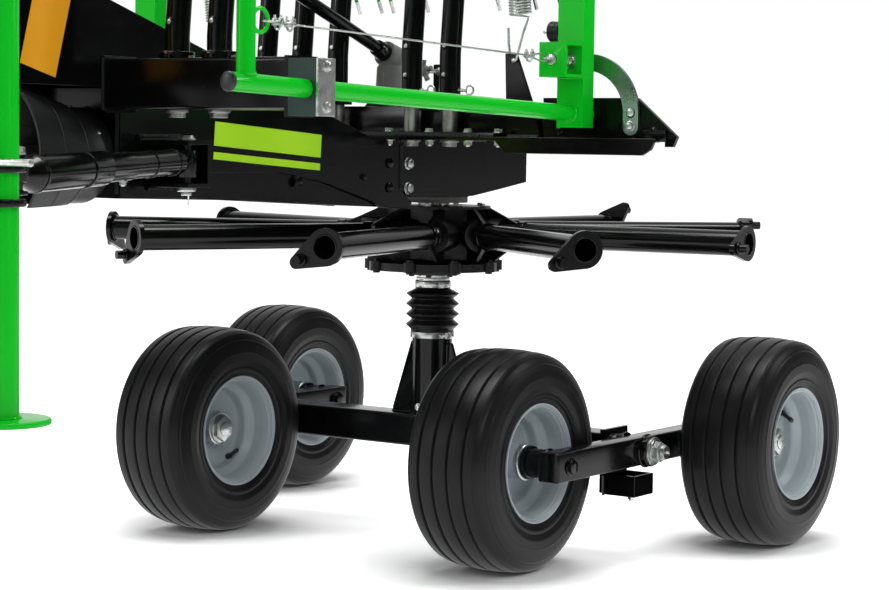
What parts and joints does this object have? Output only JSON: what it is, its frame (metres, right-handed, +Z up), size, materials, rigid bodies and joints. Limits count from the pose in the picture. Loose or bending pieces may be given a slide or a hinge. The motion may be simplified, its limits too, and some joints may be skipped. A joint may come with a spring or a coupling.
{
  "type": "single rotor hay rake",
  "caption": "Mounted single rotor hay rake folded for storage, with bare rotor arms, stored tine arms, raised side guards and a tandem axle.",
  "frame": {"origin": "on the ground under the rotor's axis", "axes": "+X forward towards the tractor, +Y to the machine's left, +Z up"},
  "size_m": [2.5874, 1.56, 2.1],
  "materials": {
    "black_paint": "gloss",
    "green_paint": "gloss",
    "zinc": "satin",
    "grey_casting": "matte",
    "rim_grey": "satin",
    "rubber": "matte",
    "tyre": "satin",
    "teal_plastic": "matte",
    "black_plastic": "matte"
  },
  "bodies": {
    "chassis": {"cross_beam": "black_paint", "column_tube": "black_paint", "bellows": "rubber", "pivot_shafts": "zinc", "stop_brackets": "black_paint"},
    "frame": {"column_piston": "zinc", "beam_side_plates": "black_paint", "beam_box": "black_paint", "rear_housing": "black_paint", "gearbox": "grey_casting", "crank_gearbox": "grey_casting", "height_crank": "black_paint", "rear_bar": "black_paint", "front_bars": "black_paint", "arm_pegs": "zinc", "tine_arms_rear": "black_paint", "tine_arms_front_left": "black_paint", "tine_arms_front_right": "black_paint", "tines": "green_paint", "hinge_plates": "black_paint", "sector_plates": "zinc", "clamp_blocks": "teal_plastic", "clamp_covers": "zinc", "guard_spring_left": "zinc", "guard_spring_right": "zinc", "pto_cone": "black_plastic", "neck_head": "black_paint", "yaw_pins": "zinc", "strut_brackets": "black_paint"},
    "rotor": {"rotor_hub": "black_paint", "rotor_arms": "black_paint"},
    "pto_shaft": {"pto_input_shaft": "zinc"},
    "walking_left": {"walking_beam_left": "black_paint", "axles_left": "zinc"},
    "walking_right": {"walking_beam_right": "black_paint", "axles_right": "zinc"},
    "guard_left": {"guard_frame_left": "green_paint"},
    "guard_right": {"guard_frame_right": "green_paint"},
    "headstock": {"headstock_frame": "black_paint", "link_pins": "zinc", "top_link_pin": "zinc", "strut_forks": "black_paint"},
    "leg_left": {"stand_left": "green_paint"},
    "leg_right": {"stand_right": "green_paint"},
    "wheel_front_left": {"tyre_front_left": "tyre", "rim_front_left": "rim_grey"},
    "wheel_front_right": {"tyre_front_right": "tyre", "rim_front_right": "rim_grey"},
    "wheel_rear_left": {"tyre_rear_left": "tyre", "rim_rear_left": "rim_grey"},
    "wheel_rear_right": {"tyre_rear_right": "tyre", "rim_rear_right": "rim_grey"},
    "strut_barrel_left": {"strut_tube_left": "black_paint"},
    "strut_piston_left": {"strut_rod_left": "zinc"},
    "strut_barrel_right": {"strut_tube_right": "black_paint"},
    "strut_piston_right": {"strut_rod_right": "zinc"}
  },
  "joints": [
    {"name": "rotor_height", "type": "slide", "parent": "chassis", "child": "frame", "axis": [0, 0, 1], "range_m": [-0.05, 0.06], "deforming": ["bellows"]},
    {"name": "rotor_spin", "type": "hinge", "parent": "frame", "child": "rotor", "pos_m": [0, 0, 0.672], "axis": [0, 0, 1], "continuous": true},
    {"name": "pto_spin", "type": "hinge", "parent": "frame", "child": "pto_shaft", "pos_m": [1.25, 0, 0.846], "axis": [1, 0, 0], "continuous": true},
    {"name": "headstock_yaw", "type": "hinge", "parent": "frame", "child": "headstock", "pos_m": [1.6, 0, 1.09], "axis": [0, 0, 1], "range_deg": [-10, 10]},
    {"name": "walking_left", "type": "hinge", "parent": "chassis", "child": "walking_left", "pos_m": [0, 0.535, 0.2286], "axis": [0, 1, 0], "range_deg": [-8, 8]},
    {"name": "guard_fold_left", "type": "hinge", "parent": "frame", "child": "guard_left", "pos_m": [0.3, 0.565, 0.937], "axis": [-0.9995, 0, -0.0329], "range_deg": [0, 90], "deforming": ["guard_spring_left"]},
    {"name": "strut_swing_left", "type": "hinge", "parent": "frame", "child": "strut_barrel_left", "pos_m": [1.04, 0.18, 0.833], "axis": [0, 0, 1], "range_deg": [-3, 3]},
    {"name": "strut_slide_left", "type": "slide", "parent": "strut_barrel_left", "child": "strut_piston_left", "axis": [0.9673, 0.2537, 0], "range_m": [-0.065, 0.065]},
    {"name": "walking_right", "type": "hinge", "parent": "chassis", "child": "walking_right", "pos_m": [0, -0.535, 0.2286], "axis": [0, 1, 0], "range_deg": [-8, 8]},
    {"name": "guard_fold_right", "type": "hinge", "parent": "frame", "child": "guard_right", "pos_m": [0.3, -0.565, 0.937], "axis": [0.9995, 0, 0.0329], "range_deg": [0, 90], "deforming": ["guard_spring_right"]},
    {"name": "strut_swing_right", "type": "hinge", "parent": "frame", "child": "strut_barrel_right", "pos_m": [1.04, -0.18, 0.833], "axis": [0, 0, 1], "range_deg": [-3, 3]},
    {"name": "strut_slide_right", "type": "slide", "parent": "strut_barrel_right", "child": "strut_piston_right", "axis": [0.9673, -0.2537, 0], "range_m": [-0.065, 0.065]},
    {"name": "leg_left_lift", "type": "slide", "parent": "headstock", "child": "leg_left", "axis": [0, 0, 1], "range_m": [-0.44, 0]},
    {"name": "leg_right_lift", "type": "slide", "parent": "headstock", "child": "leg_right", "axis": [0, 0, 1], "range_m": [0, 0.44]},
    {"name": "wheel_front_left_spin", "type": "hinge", "parent": "walking_left", "child": "wheel_front_left", "pos_m": [0.3065, 0.396, 0.2286], "axis": [0, 1, 0], "continuous": true},
    {"name": "wheel_front_right_spin", "type": "hinge", "parent": "walking_right", "child": "wheel_front_right", "pos_m": [0.3065, -0.396, 0.2286], "axis": [0, 1, 0], "continuous": true},
    {"name": "wheel_rear_left_spin", "type": "hinge", "parent": "walking_left", "child": "wheel_rear_left", "pos_m": [-0.314, 0.673, 0.2286], "axis": [0, 1, 0], "continuous": true},
    {"name": "wheel_rear_right_spin", "type": "hinge", "parent": "walking_right", "child": "wheel_rear_right", "pos_m": [-0.314, -0.673, 0.2286], "axis": [0, 1, 0], "continuous": true}
  ],
  "couplings": [
    {"joint": "pto_spin", "follows": "rotor_spin", "ratio": 5.4},
    {"joint": "strut_swing_left", "follows": "headstock_yaw", "ratio": 0.1577},
    {"joint": "strut_slide_left", "follows": "headstock_yaw", "m_per_rad": -0.3152},
    {"joint": "strut_swing_right", "follows": "headstock_yaw", "ratio": 0.1577},
    {"joint": "strut_slide_right", "follows": "headstock_yaw", "m_per_rad": 0.3152}
  ]
}
